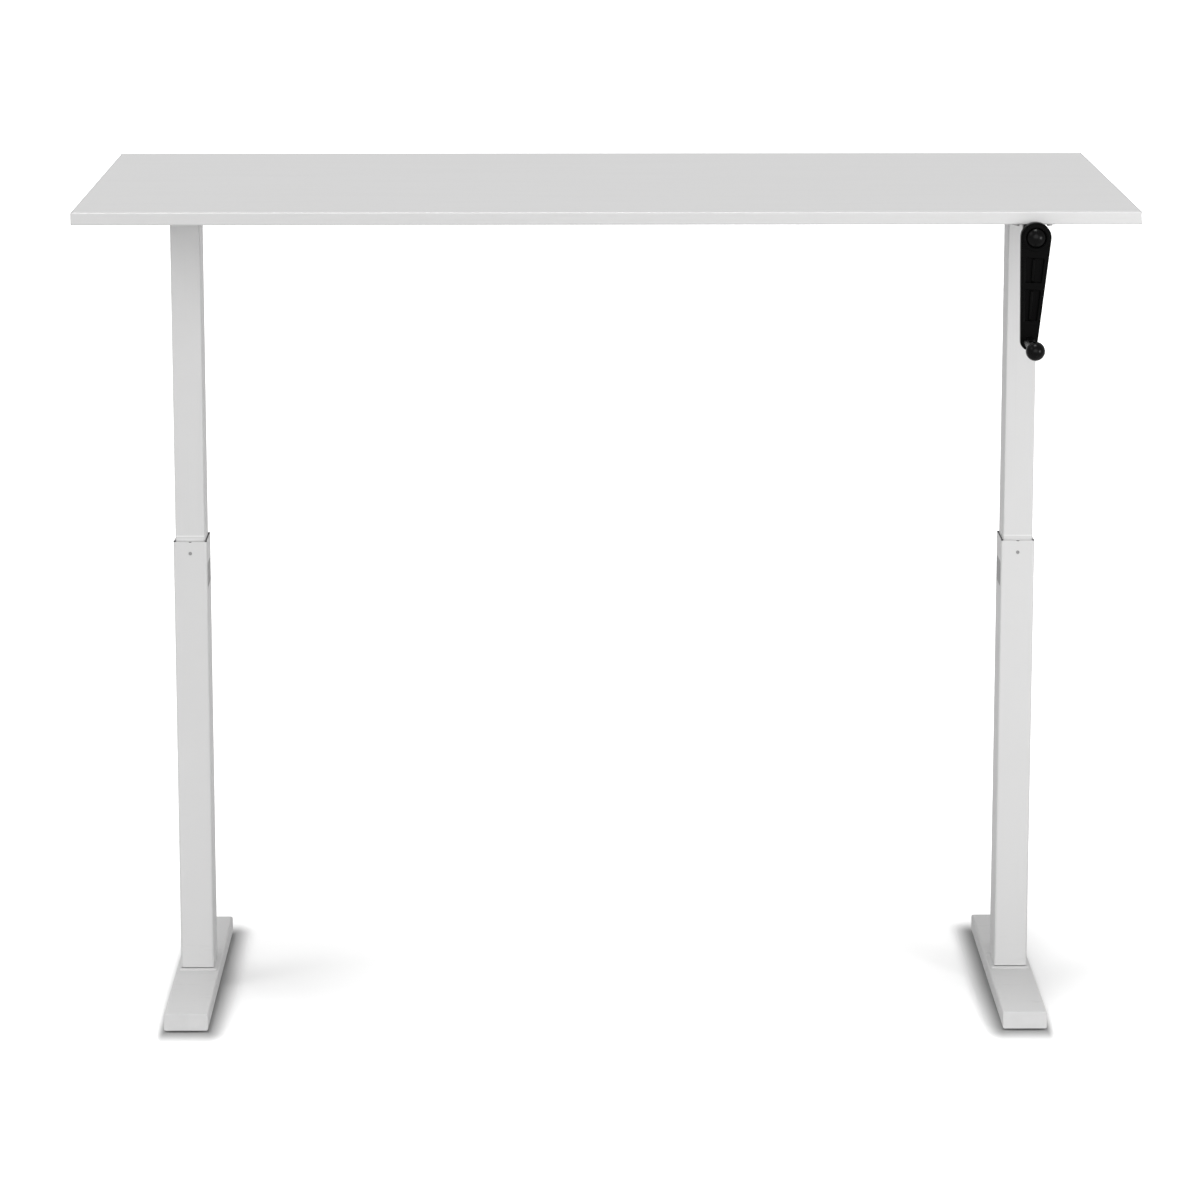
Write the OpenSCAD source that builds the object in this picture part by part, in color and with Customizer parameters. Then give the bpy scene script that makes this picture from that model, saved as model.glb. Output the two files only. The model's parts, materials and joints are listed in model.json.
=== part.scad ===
// Hand-cranked height adjustable standing desk.
// A worktop on two telescopic columns is raised by a pair of screw spindles. One crank at the
// front turns both spindles through a small gear train and a cross shaft.
// X runs along the desk from left to right, Y from front to back and Z is up. Sizes are in mm.
// The desk is drawn raised, standing on Z = 0, with the middle of its bounding box on the Z axis.

/* [Worktop] */
// Length of the worktop from left to right
worktop_length = 1500; // [1300:10:1800]
// Depth of the worktop from front to back
worktop_depth = 750; // [700:10:900]
// Thickness of the worktop
worktop_thickness = 18; // [16:1:28]
// Thickness of the plastic strip glued round the edge
edge_band = 2; // [0.5:0.5:3]
// Height of the worktop's upper face when fully lowered
lowest_height = 754; // [750:1:900]

/* [Columns] */
// Distance between the middles of the two columns
column_spacing = 1238; // [1080:2:1400]
// Width of the fixed outer column, along X
column_width = 50; // [48:1:62]
// Depth of the fixed outer column, along Y
column_depth = 70; // [68:1:86]
// Gap left between the gearboxes and the outer columns when the desk is fully lowered
stop_gap = 5; // [2:1:10]
// Gap left all round between the outer and the inner column
column_gap = 1.5; // [1.2:0.1:2]
// Wall of all the steel tubes
tube_wall = 1.5; // [1.2:0.1:2]
// Outside corner radius of the columns
column_corner = 3; // [2.5:0.5:5]

/* [Feet] */
// Length of a foot from front to back
foot_length = 520; // [440:10:700]
// Width of a foot
foot_width = 65; // [62:1:80]
// Height of the foot's steel tube
foot_height = 26; // [22:1:40]
// Thickness of the round pads under the feet
pad_thickness = 3; // [2:0.5:6]

/* [Lift] */
// Height the worktop can be wound up from its lowest place
lift_stroke = 476; // [380:4:476]
// Diameter of the screw spindles
spindle_diameter = 16; // [12:1:18]
// Distance of the drive's axis below the worktop
drive_drop = 17; // [16:0.5:24]
// Distance of the crank from the middle of its column, towards the middle of the desk
crank_offset = 19; // [17:0.5:22]

/* [Crank] */
// Distance from the crank's axis to the middle of its grip
crank_radius = 147; // [120:1:170]
// Radius of the crank's hub
hub_radius = 21.5; // [20:0.5:26]
// Radius of the crank's narrow end
arm_end_radius = 12; // [11:0.5:16]
// Thickness of the crank's arm
arm_thickness = 14; // [12:1:18]
// Lean of the resting crank from straight down
arm_lean = 2.9; // [0:0.1:10]
// Length of the grip, ball included
grip_length = 98; // [70:1:120]
// Radius of the ball at the end of the grip
grip_ball = 13.4; // [12:0.1:18]
// Gap between the worktop's front edge and the crank
crank_gap = 3; // [2:0.5:6]

/* [Hidden] */
// Smoothness of round faces
$fn = 96;
// Gap round a shaft that turns in a bore
running_fit = 0.05;
// Gap between plastic glides and the column that slides on them
glide_fit = 0.05;
// Gap round parts that are fitted together and don't move
part_fit = 0.1;
// Overlap that makes cutters reach past a face
past = 1;

// Heights of the main levels
foot_top = pad_thickness + foot_height;
base_plate_thickness = 4;
column_bottom = foot_top + base_plate_thickness;
raised_height = lowest_height + lift_stroke;
underside = raised_height - worktop_thickness;
drive_level = underside - drive_drop;

// Columns
column_x = column_spacing / 2;
inner_width = column_width - 2 * (tube_wall + column_gap);
inner_depth = column_depth - 2 * (tube_wall + column_gap);
inner_corner = column_corner - tube_wall / 2;
bore_corner = column_corner - tube_wall;
inner_rest = 32;
inner_bottom = column_bottom + inner_rest + lift_stroke;

// Base plates under the columns
plate_margin = 4.5;
plate_width = column_width + 2 * plate_margin;
plate_depth = column_depth + 2 * plate_margin;

// Glides between the columns
glide_height = 60;
glide_lip = 1;
lower_glide_height = 50;
rivet_drop = 18;
rivet_radius = 2.6;
window_drop = 34;
window_height = 38;
window_depth = column_depth - 14;
window_sink = 0.4;

// Foot ends and pads
cap_face = 4;
cap_plug = 22;
cap_wall = 2;
pad_radius = 17;
pad_inset = 34;
pad_peg_radius = 5;
pad_peg_height = 9;

// Gears. The spur pair closes the distance between the crank and the column's middle.
spur_teeth = 12;
spur_module = crank_offset / spur_teeth;
spur_width = 8;
pinion_teeth = 12;
wheel_teeth = 24;
face_module = 4 / 3;
pinion_radius = face_module * pinion_teeth / 2;
wheel_radius = face_module * wheel_teeth / 2;
pinion_width = 4;
tooth_addendum = 0.8;
tooth_dedendum = 1.125;
tooth_share = 0.4;
pressure_angle = 20;
wheel_tip = wheel_radius + pinion_width / 2 + 0.5;
wheel_root = wheel_radius - pinion_width / 2 - 0.5;
wheel_plate = 4;
wheel_floor = drive_level - pinion_radius - tooth_dedendum * face_module - wheel_plate;

// Gearbox housings. Their cavities are open at the top and closed by the brackets.
bracket_plate = 3;
box_top = underside - bracket_plate;
box_floor = 7;
box_bottom = wheel_floor - running_fit - box_floor;
column_top = box_bottom - lift_stroke - stop_gap;
box_wall = 4.5;
cavity_radius = wheel_tip + 2;
box_overhang = 1.5;
box_half = max(cavity_radius + box_wall, inner_width / 2 + box_overhang);
spur_tip = spur_module * (spur_teeth / 2 + tooth_addendum);
spur_room = ceil(spur_tip + 1);
spur_back = -cavity_radius - 5.5;
spur_front = spur_back - spur_width - 4;
box_front = spur_front - 8;
box_inboard = crank_offset + spur_room + box_wall;

// Spindles
spindle_radius = spindle_diameter / 2;
collar_radius = spindle_radius + 3;
collar_height = 6;
nut_length = 30;
spindle_rest = 62;
spindle_reach = 45;
spindle_bottom = column_bottom + spindle_rest + lift_stroke;
nut_top = spindle_bottom + spindle_reach;
nut_radius = spindle_radius + 5.5;
nut_tube_wall = 2;
nut_tube_radius = nut_radius + nut_tube_wall;

// Cross shaft and idler
shaft_flats = 8;
pinion_hub = 6.5;
pinion_hub_length = 11;
idler_radius = 4.5;

// Brackets and rails under the worktop
bracket_inner = box_inboard + 4;
bracket_wall = 3;
bracket_length = 2 * (worktop_depth / 2 - 135);
bracket_end_drop = 12;
bracket_mid_drop = underside - box_bottom;
bracket_mid_half = box_half + 20;
rail_depth = 30;
rail_height = 20;
rail_y = 75;
rail_plate = 3;
rail_end = column_x - bracket_inner - bracket_wall;

// Fasteners
bolt_radius = 3;
bolt_head = 5.5;
bolt_head_height = 4;
bolt_length = 14;
screw_radius = 2;
screw_head = 4.5;
screw_head_height = 2.5;
screw_bite = 13;
screw_x = bracket_inner - 10;
screw_ys = [-bracket_length / 2 + 20, -bracket_mid_half - 24, bracket_mid_half + 24, bracket_length / 2 - 20];

// Crank rod and its front bearing
rod_radius = 6;
socket_flats = 9;
socket_depth = 8;
bearing_thickness = 14;
bearing_y = -worktop_depth / 2 + 30;
bearing_half = 14;
bearing_flange = 30;
bearing_drop = drive_drop + rod_radius + 6;
rod_back = spur_back + 12;

// Crank. Its back face is crank_gap in front of the worktop.
crank_x = column_x - crank_offset;
arm_back = -worktop_depth / 2 - crank_gap;
arm_front = arm_back - arm_thickness;
ring_outer = hub_radius - 2.5;
ring_inner = hub_radius - 7;
ring_height = 2;
cap_radius = ring_inner - 0.4;
cap_rise = 8;
cap_skirt = 3;
arm_screw_radius = 3;
arm_screw_head = 5.5;
pocket_depth = 6;
pocket_rim = 5;
pocket_rungs = [[0.14, 0.36], [0.41, 0.62], [0.67, 0.75]];
ring_step = 4;
pin_radius = 3;
pin_length = grip_length - 2 * grip_ball + 6;
pin_barb = 4;
pin_barb_height = 4;
pin_flange = 6;
pin_flange_height = 2;
grip_root = 7;
grip_neck = 8.5;

// Offset that puts the middle of the whole desk, crank included, on the Z axis
crank_tip = arm_front - grip_length;
desk_y = -(crank_tip + worktop_depth / 2) / 2;

// Colours
white_steel = [0.9, 0.9, 0.9];
bare_steel = [0.65, 0.66, 0.68];
white_board = [0.93, 0.93, 0.93];
black_plastic = [0.05, 0.05, 0.05];
grey_plastic = [0.55, 0.56, 0.57];
nut_plastic = [0.85, 0.83, 0.76];
cast_metal = [0.45, 0.46, 0.48];

// Sub-part to draw

// ---- helpers ----

// Puts what is drawn round the desk's own middle into the shared frame
module at_desk() {
  translate([0, desk_y, 0])
    children();
}

// Draws the same thing at the left and, mirrored, at the right column
module both_sides() {
  for (side = [0, 1])
    mirror([side, 0, 0])
      children();
}

// A column's middle, on the right
module at_column() {
  translate([column_x, 0, 0])
    children();
}

// Block standing on z = 0 and centred on the Z axis
module block(x, y, z) {
  translate([-x / 2, -y / 2, 0])
    cube([x, y, z]);
}

// Upright block with round corners
module round_block(x, y, z, corner) {
  block(x - 2 * corner, y, z);
  block(x, y - 2 * corner, z);
  for (i = [-1, 1], j = [-1, 1])
    translate([i * (x / 2 - corner), j * (y / 2 - corner), 0])
      cylinder(r = corner, h = z);
}

// Upright square-cornered tube with rounded corners
module round_tube(x, y, z, corner, wall) {
  difference() {
    round_block(x, y, z, corner);
    translate([0, 0, -past])
      round_block(x - 2 * wall, y - 2 * wall, z + 2 * past, max(corner - wall, 0.5));
  }
}

// Lays something that stands on z = 0 down so that it points to the front
module to_front() {
  rotate([90, 0, 0])
    children();
}

// Lays something that stands on z = 0 down so that it points to +X
module to_right() {
  rotate([0, 90, 0])
    children();
}

// Six-sided bar of a given distance across flats
module hex_bar(flats, length) {
  cylinder(r = flats / sqrt(3), h = length, $fn = 6);
}

// Half of the angle that a tooth's flanks leave at a radius, for an involute tooth
function involute_angle(base, radius) =
  let (a = acos(min(1, base / radius)))
  tan(a) * 180 / PI - a;

// Outline of a spur gear whose first tooth points along +X
function gear_outline(teeth, module_size) =
  let (
    pitch = module_size * teeth / 2,
    base = pitch * cos(pressure_angle),
    tip = pitch + tooth_addendum * module_size,
    root = pitch - tooth_dedendum * module_size,
    half = 180 * tooth_share / teeth,
    start = max(base, root),
    steps = 4,
    radii = [for (i = [0 : steps]) start + (tip - start) * i / steps],
    flank = [for (r = radii) [r, half + involute_angle(base, pitch) - involute_angle(base, r)]],
    side = concat([[root, flank[0][1]]], flank)
  )
  [
    for (k = [0 : teeth - 1])
      for (p = concat([for (s = side) [s[0], -s[1]]], [for (i = [len(side) - 1 : -1 : 0]) side[i]]))
        let (at = k * 360 / teeth + p[1])
        [p[0] * cos(at), p[0] * sin(at)]
  ];

// Spur gear lying on z = 0
module spur_gear(teeth, module_size, width, turn) {
  rotate([0, 0, turn])
    linear_extrude(height = width)
      polygon(gear_outline(teeth, module_size));
}

// Face wheel with straight radial teeth that stand up from z = 0. A tooth points along +X.
module face_wheel() {
  pitch_length = PI * face_module;
  slope = tan(pressure_angle);
  top = tooth_addendum * face_module;
  low = tooth_dedendum * face_module;
  half = pitch_length * tooth_share / 2;
  sunk = 0.5;
  profile = [
    [half + (low + sunk) * slope, -low - sunk],
    [half - top * slope, top],
    [top * slope - half, top],
    [-half - (low + sunk) * slope, -low - sunk]
  ];
  translate([0, 0, -low - wheel_plate])
    cylinder(r = wheel_tip, h = wheel_plate);
  intersection() {
    for (k = [0 : wheel_teeth - 1])
      rotate([0, 0, k * 360 / wheel_teeth])
        translate([wheel_root, 0, 0])
          rotate([90, 0, 90])
            linear_extrude(height = wheel_tip - wheel_root + past)
              polygon(profile);
    translate([0, 0, -low - wheel_plate])
      cylinder(r = wheel_tip, h = 2 * wheel_plate + low);
  }
}

// Tapered outline between two circles on the Y axis, the first at the origin
module taper_outline(r1, r2, distance) {
  lean = asin((r1 - r2) / distance);
  polygon([
    [r1 * cos(lean), -r1 * sin(lean)],
    [r2 * cos(lean), -distance - r2 * sin(lean)],
    [-r2 * cos(lean), -distance - r2 * sin(lean)],
    [-r1 * cos(lean), -r1 * sin(lean)]
  ]);
}

// ---- worktop and what is fixed under it ----

module worktop() {
  color(white_board)
    at_desk()
      difference() {
        translate([0, 0, underside])
          block(worktop_length - 2 * edge_band, worktop_depth - 2 * edge_band, worktop_thickness);
        screw_places()
          cylinder(r = screw_radius + running_fit, h = screw_bite + part_fit);
      }
}

module edge_strip() {
  color(white_board)
    at_desk()
      translate([0, 0, underside])
        difference() {
          block(worktop_length, worktop_depth, worktop_thickness);
          translate([0, 0, -past])
            block(
              worktop_length - 2 * edge_band,
              worktop_depth - 2 * edge_band,
              worktop_thickness + 2 * past
            );
        }
}

// Every place where a screw goes up into the worktop, with z = 0 on its underside
module screw_places() {
  both_sides()
    for (x = [-screw_x, screw_x], y = screw_ys)
      translate([column_x + x, y, underside])
        children();
  for (x = [-1, 1])
    translate([crank_x + x * (bearing_flange - 7), bearing_y, underside])
      children();
}

module worktop_screws() {
  color(bare_steel)
    at_desk()
      screw_places()
        difference() {
          union() {
            translate([0, 0, -bracket_plate])
              cylinder(r = screw_radius, h = bracket_plate + screw_bite);
            translate([0, 0, -bracket_plate - screw_head_height])
              cylinder(r1 = screw_head - 1, r2 = screw_head, h = screw_head_height);
          }
          translate([0, 0, -bracket_plate - screw_head_height - past])
            hex_bar(3, past + 1.5);
        }
}

// Downward channel over a gearbox, for the right column
module bracket() {
  half = bracket_length / 2;
  web = [
    [-half, 0],
    [-half, -bracket_end_drop],
    [-bracket_mid_half, -bracket_mid_drop],
    [bracket_mid_half, -bracket_mid_drop],
    [half, -bracket_end_drop],
    [half, 0]
  ];
  width = 2 * (bracket_inner + bracket_wall);
  color(white_steel)
    at_desk()
      difference() {
        at_column()
          translate([0, 0, underside]) {
            translate([0, 0, -bracket_plate])
              block(width, bracket_length, bracket_plate);
            for (x = [-bracket_inner - bracket_wall, bracket_inner])
              translate([x, 0, 0])
                rotate([90, 0, 90])
                  linear_extrude(height = bracket_wall)
                    polygon(web);
          }
        screw_places()
          translate([0, 0, -bracket_plate - past])
            cylinder(r = screw_radius + part_fit, h = bracket_plate + 2 * past);
        translate([column_x - bracket_inner - bracket_wall - past, 0, drive_level])
          to_right()
            cylinder(r = pinion_hub + 2, h = bracket_wall + 2 * past);
        bolt_places()
          translate([0, 0, -bracket_wall - past])
            cylinder(r = bolt_radius + part_fit, h = bracket_wall + 2 * past);
      }
}

module bracket_left() {
  mirror([1, 0, 0])
    bracket();
}

module bracket_right() {
  bracket();
}

// The bolts at the right ends of both rails, with +Z along the bolt and z = 0 on the rail's end
module bolt_places() {
  for (y = [-rail_y, rail_y])
    translate([rail_end, y, underside - bracket_plate - rail_height / 2])
      rotate([0, -90, 0])
        children();
}

module rail_bolts() {
  color(bare_steel)
    at_desk()
      both_sides()
        bolt_places()
          difference() {
            union() {
              translate([0, 0, -bracket_wall])
                cylinder(r = bolt_radius, h = bolt_length);
              translate([0, 0, -bracket_wall - bolt_head_height])
                cylinder(r = bolt_head, h = bolt_head_height);
            }
            translate([0, 0, -bracket_wall - bolt_head_height - past])
              hex_bar(4, past + 2.5);
          }
}

// Rectangular tube with a welded plate at each end, lying along X
module rail(y) {
  color(white_steel)
    at_desk()
      difference() {
        translate([0, y, underside - bracket_plate - rail_height / 2])
          union() {
            translate([-rail_end + rail_plate, 0, 0])
              to_right()
                difference() {
                  block(rail_height, rail_depth, 2 * (rail_end - rail_plate));
                  translate([0, 0, -past])
                    block(
                      rail_height - 2 * tube_wall,
                      rail_depth - 2 * tube_wall,
                      2 * (rail_end - rail_plate + past)
                    );
                }
            both_sides()
              translate([rail_end - rail_plate, 0, 0])
                to_right()
                  block(rail_height, rail_depth, rail_plate);
          }
        both_sides()
          bolt_places()
            translate([0, 0, -past])
              cylinder(r = bolt_radius + running_fit, h = rail_plate + 2 * past);
      }
}

module rail_front() {
  rail(-rail_y);
}

module rail_back() {
  rail(rail_y);
}

// ---- gearboxes ----

// Space for the face wheel, its spindle and the cross shaft's pinion, on the right
module wheel_room() {
  translate([0, 0, wheel_floor - running_fit])
    cylinder(r = cavity_radius, h = underside - wheel_floor);
  translate([0, 0, box_bottom - past])
    cylinder(r = spindle_radius + running_fit, h = box_floor + 2 * past);
  translate([-box_inboard - past, 0, drive_level])
    to_right()
      cylinder(r = pinion_hub + running_fit, h = box_inboard + past);
}

module gearbox_left() {
  color(cast_metal)
    at_desk()
      mirror([1, 0, 0])
        at_column()
          difference() {
            translate([0, 0, box_bottom])
              block(2 * box_half, 2 * box_half, box_top - box_bottom);
            wheel_room();
          }
}

module gearbox_right() {
  color(cast_metal)
    at_desk()
      at_column()
        difference() {
          translate([-box_inboard, box_front, box_bottom])
            cube([box_inboard + box_half, box_half - box_front, box_top - box_bottom]);
          wheel_room();
          translate([-crank_offset - spur_room, spur_front, drive_level - spur_room])
            cube([crank_offset + 2 * spur_room, spur_back - spur_front, underside - drive_level + spur_room]);
          translate([0, -wheel_root, drive_level])
            to_front()
              cylinder(r = idler_radius + running_fit, h = -box_front + past);
          translate([-crank_offset, rod_back + running_fit, drive_level])
            to_front()
              cylinder(r = rod_radius + running_fit, h = rod_back + running_fit - box_front + past);
        }
}

// ---- columns ----

module inner_column() {
  at_desk()
    at_column()
      translate([0, 0, inner_bottom])
        round_tube(inner_width, inner_depth, box_bottom - inner_bottom, inner_corner, tube_wall);
}

module inner_column_left() {
  color(white_steel)
    mirror([1, 0, 0])
      inner_column();
}

module inner_column_right() {
  color(white_steel)
    inner_column();
}

// Plastic sleeves on the lower ends of the inner columns
module lower_glides() {
  outer_x = column_width - 2 * (tube_wall + glide_fit);
  outer_y = column_depth - 2 * (tube_wall + glide_fit);
  color(black_plastic)
    at_desk()
      both_sides()
        at_column()
          difference() {
            translate([0, 0, inner_bottom - glide_lip])
              round_block(outer_x, outer_y, lower_glide_height + glide_lip, bore_corner);
            translate([0, 0, inner_bottom])
              round_block(inner_width, inner_depth, lower_glide_height + past, inner_corner);
            translate([0, 0, inner_bottom - glide_lip - past])
              round_block(
                inner_width - 2 * tube_wall,
                inner_depth - 2 * tube_wall,
                2 * (glide_lip + past),
                inner_corner - tube_wall / 2
              );
          }
}

module outer_column() {
  at_desk()
    at_column()
      difference() {
        translate([0, 0, column_bottom])
          round_tube(column_width, column_depth, column_top - column_bottom, column_corner, tube_wall);
        window_cut(tube_wall + past, 0);
        translate([0, 0, column_top - rivet_drop])
          to_front()
            cylinder(r = rivet_radius + part_fit, h = column_depth);
      }
}

// The opening in the side of a column that faces the middle of the desk, cut to a depth and
// made smaller all round by an inset
module window_cut(depth, inset) {
  translate([
    -column_width / 2 - past,
    -window_depth / 2 + inset,
    column_top - window_drop - window_height + inset
  ])
    cube([depth + past, window_depth - 2 * inset, window_height - 2 * inset]);
}

module outer_column_left() {
  color(white_steel)
    mirror([1, 0, 0])
      outer_column();
}

module outer_column_right() {
  color(white_steel)
    outer_column();
}

// Plastic sleeves inside the open tops of the outer columns, each held by a moulded stud
module upper_glides() {
  color(black_plastic)
    at_desk()
      both_sides()
        at_column() {
          difference() {
            translate([0, 0, column_top - glide_height])
              round_block(
                column_width - 2 * tube_wall,
                column_depth - 2 * tube_wall,
                glide_height,
                bore_corner
              );
            translate([0, 0, column_top - glide_height - past])
              round_block(
                inner_width + 2 * glide_fit,
                inner_depth + 2 * glide_fit,
                glide_height + 2 * past,
                inner_corner
              );
            window_cut(tube_wall + column_gap + past, -part_fit);
          }
          translate([0, -inner_depth / 2 - glide_fit - column_gap / 2, column_top - rivet_drop])
            to_front()
              cylinder(r = rivet_radius, h = column_gap / 2 + tube_wall);
        }
}

// Grey plastic pads that fill the side windows and steady the inner columns
module glide_windows() {
  pad = column_width / 2 - window_sink - inner_width / 2 - glide_fit;
  color(grey_plastic)
    at_desk()
      both_sides()
        at_column()
          translate([
            -column_width / 2 + window_sink,
            -window_depth / 2 + part_fit,
            column_top - window_drop - window_height + part_fit
          ])
            cube([pad, window_depth - 2 * part_fit, window_height - 2 * part_fit]);
}

// ---- feet ----

module base_plates() {
  color(white_steel)
    at_desk()
      both_sides()
        at_column()
          translate([0, 0, foot_top])
            round_block(plate_width, plate_depth, base_plate_thickness, column_corner + plate_margin / 2);
}

// Rectangular tube lying along Y, with holes in its bottom for the pads' pegs
module foot() {
  at_desk()
    at_column()
      difference() {
        translate([0, foot_length / 2 - cap_face, pad_thickness + foot_height / 2])
          to_front()
            difference() {
              round_block(foot_width, foot_height, foot_length - 2 * cap_face, column_corner);
              translate([0, 0, -past])
                round_block(
                  foot_width - 2 * tube_wall,
                  foot_height - 2 * tube_wall,
                  foot_length,
                  bore_corner
                );
            }
        pad_places()
          cylinder(r = pad_peg_radius + part_fit, h = pad_thickness + foot_height / 2);
      }
}

// The two pads under a foot, with z = 0 on the floor
module pad_places() {
  for (y = [-1, 1])
    translate([0, y * (foot_length / 2 - pad_inset), 0])
      children();
}

module foot_left() {
  color(white_steel)
    mirror([1, 0, 0])
      foot();
}

module foot_right() {
  color(white_steel)
    foot();
}

// Plugs that close both ends of the feet, each a face with a hollow spigot
module foot_caps() {
  color(white_steel)
    at_desk()
      both_sides()
        at_column()
          for (turn = [0, 180])
            rotate([0, 0, turn])
              translate([0, -foot_length / 2 + cap_face, pad_thickness + foot_height / 2])
                rotate([-90, 0, 0])
                  difference() {
                    union() {
                      translate([0, 0, -cap_face])
                        round_block(foot_width, foot_height, cap_face, column_corner);
                      round_block(
                        foot_width - 2 * (tube_wall + part_fit),
                        foot_height - 2 * (tube_wall + part_fit),
                        cap_plug - cap_face,
                        bore_corner
                      );
                    }
                    round_block(
                      foot_width - 2 * (tube_wall + part_fit + cap_wall),
                      foot_height - 2 * (tube_wall + part_fit + cap_wall),
                      cap_plug,
                      bore_corner
                    );
                  }
}

module foot_pads() {
  color(black_plastic)
    at_desk()
      both_sides()
        at_column()
          pad_places() {
            cylinder(r1 = pad_radius - 1, r2 = pad_radius, h = 1);
            translate([0, 0, 1])
              cylinder(r = pad_radius, h = pad_thickness - 1);
            cylinder(r = pad_peg_radius, h = pad_thickness + pad_peg_height);
          }
}

// ---- screw lift ----

// Tubes that stand on the base plates and hold the nuts up inside the inner columns
module nut_tubes() {
  color(bare_steel)
    at_desk()
      both_sides()
        at_column()
          translate([0, 0, column_bottom])
            difference() {
              cylinder(r = nut_tube_radius, h = nut_top - column_bottom);
              translate([0, 0, past])
                cylinder(r = nut_radius + part_fit, h = nut_top - column_bottom);
            }
}

module lift_nuts() {
  color(nut_plastic)
    at_desk()
      both_sides()
        at_column()
          difference() {
            union() {
              translate([0, 0, nut_top - nut_length])
                cylinder(r = nut_radius, h = nut_length);
              translate([0, 0, nut_top])
                cylinder(r = nut_tube_radius, h = 3);
            }
            translate([0, 0, nut_top - nut_length - past])
              cylinder(r = spindle_radius + running_fit, h = nut_length + 3 + 2 * past);
          }
}

// Screw spindle with its collar under the gearbox. The two sides have opposite threads.
module spindle() {
  at_desk()
    at_column() {
      translate([0, 0, spindle_bottom])
        cylinder(r = spindle_radius, h = wheel_floor - spindle_bottom + wheel_plate);
      translate([0, 0, box_bottom - running_fit - collar_height])
        cylinder(r = collar_radius, h = collar_height);
    }
}

module spindle_left() {
  color(bare_steel)
    mirror([1, 0, 0])
      spindle();
}

module spindle_right() {
  color(bare_steel)
    spindle();
}

module lift_wheel() {
  at_desk()
    at_column()
      difference() {
        translate([0, 0, drive_level - pinion_radius])
          face_wheel();
        translate([0, 0, wheel_floor - past])
          cylinder(r = spindle_radius, h = wheel_plate + past);
      }
}

module wheel_left() {
  color(cast_metal)
    mirror([1, 0, 0])
      lift_wheel();
}

module wheel_right() {
  color(cast_metal)
    lift_wheel();
}

// Six-sided bar between the two gearboxes
module cross_shaft() {
  half = column_x - wheel_radius + pinion_width / 2 - 0.5;
  color(bare_steel)
    at_desk()
      translate([-half, 0, drive_level])
        to_right()
          hex_bar(shaft_flats, 2 * half);
}

module shaft_pinions() {
  color(cast_metal)
    at_desk()
      both_sides()
        translate([column_x - wheel_radius + pinion_width / 2, 0, drive_level])
          rotate([0, -90, 0])
            difference() {
              union() {
                spur_gear(pinion_teeth, face_module, pinion_width, 180 / pinion_teeth);
                cylinder(r = pinion_hub, h = pinion_width + pinion_hub_length);
              }
              translate([0, 0, 0.5])
                hex_bar(shaft_flats, pinion_width + pinion_hub_length);
            }
}

// Short shaft over the right column's middle that carries the drive to its wheel
module idler_shaft() {
  color(bare_steel)
    at_desk()
      translate([column_x, -wheel_radius + pinion_width / 2, drive_level])
        to_front()
          cylinder(r = idler_radius, h = -wheel_radius + pinion_width / 2 - box_front - 2);
}

module idler_gears() {
  color(cast_metal)
    at_desk() {
      translate([column_x, -wheel_radius + pinion_width / 2, drive_level])
        to_front()
          difference() {
            spur_gear(pinion_teeth, face_module, pinion_width, 90 + 180 / pinion_teeth);
            translate([0, 0, -past])
              cylinder(r = idler_radius, h = pinion_width + 2 * past);
          }
      translate([column_x, spur_back - 2, drive_level])
        to_front()
          difference() {
            spur_gear(spur_teeth, spur_module, spur_width, 0);
            translate([0, 0, -past])
              cylinder(r = idler_radius, h = spur_width + 2 * past);
          }
    }
}

// ---- crank ----

// Everything of the crank is drawn with +Z to the front and its arm hanging along -Y
module at_crank(y) {
  at_desk()
    translate([crank_x, y, drive_level])
      to_front()
        rotate([0, 0, -arm_lean])
          children();
}

module crank_rod() {
  color(bare_steel)
    difference() {
      union() {
        at_crank(rod_back)
          cylinder(r = rod_radius, h = rod_back - arm_back);
        at_crank(arm_back + past)
          hex_bar(socket_flats, socket_depth + past);
      }
      at_crank(arm_back)
        cylinder(r = arm_screw_radius + running_fit, h = socket_depth + past);
    }
}

module crank_gear() {
  color(cast_metal)
    at_desk()
      translate([crank_x, spur_back - 2, drive_level])
        to_front()
          difference() {
            spur_gear(spur_teeth, spur_module, spur_width, 180 / spur_teeth);
            translate([0, 0, -past])
              cylinder(r = rod_radius, h = spur_width + 2 * past);
          }
}

// Half width of the arm at a distance along it
function arm_half(share) = hub_radius + (arm_end_radius - hub_radius) * share;

module crank_arm() {
  floor_level = arm_thickness - pocket_depth;
  color(black_plastic)
    at_crank(arm_back)
      difference() {
        union() {
          cylinder(r = hub_radius, h = arm_thickness);
          translate([0, -crank_radius, 0])
            cylinder(r = arm_end_radius, h = arm_thickness);
          linear_extrude(height = arm_thickness)
            taper_outline(hub_radius, arm_end_radius, crank_radius);
          translate([0, 0, arm_thickness])
            cylinder(r = ring_outer, h = ring_height);
        }
        for (rung = pocket_rungs)
          translate([0, 0, floor_level])
            linear_extrude(height = pocket_depth + past)
              polygon([
                [arm_half(rung[0]) - pocket_rim, -rung[0] * crank_radius - ring_step],
                [arm_half(rung[1]) - pocket_rim, -rung[1] * crank_radius - ring_step],
                [pocket_rim - arm_half(rung[1]), -rung[1] * crank_radius - ring_step],
                [pocket_rim - arm_half(rung[0]), -rung[0] * crank_radius - ring_step]
              ]);
        translate([0, 0, arm_thickness - cap_skirt])
          cylinder(r = ring_inner, h = cap_skirt + ring_height + past);
        translate([0, 0, -past])
          hex_bar(socket_flats + 2 * part_fit, socket_depth + part_fit + past);
        cylinder(r = arm_screw_radius + part_fit, h = arm_thickness + past);
        translate([0, -crank_radius, -past])
          cylinder(r = pin_radius, h = arm_thickness + 2 * past);
      }
}

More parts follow.
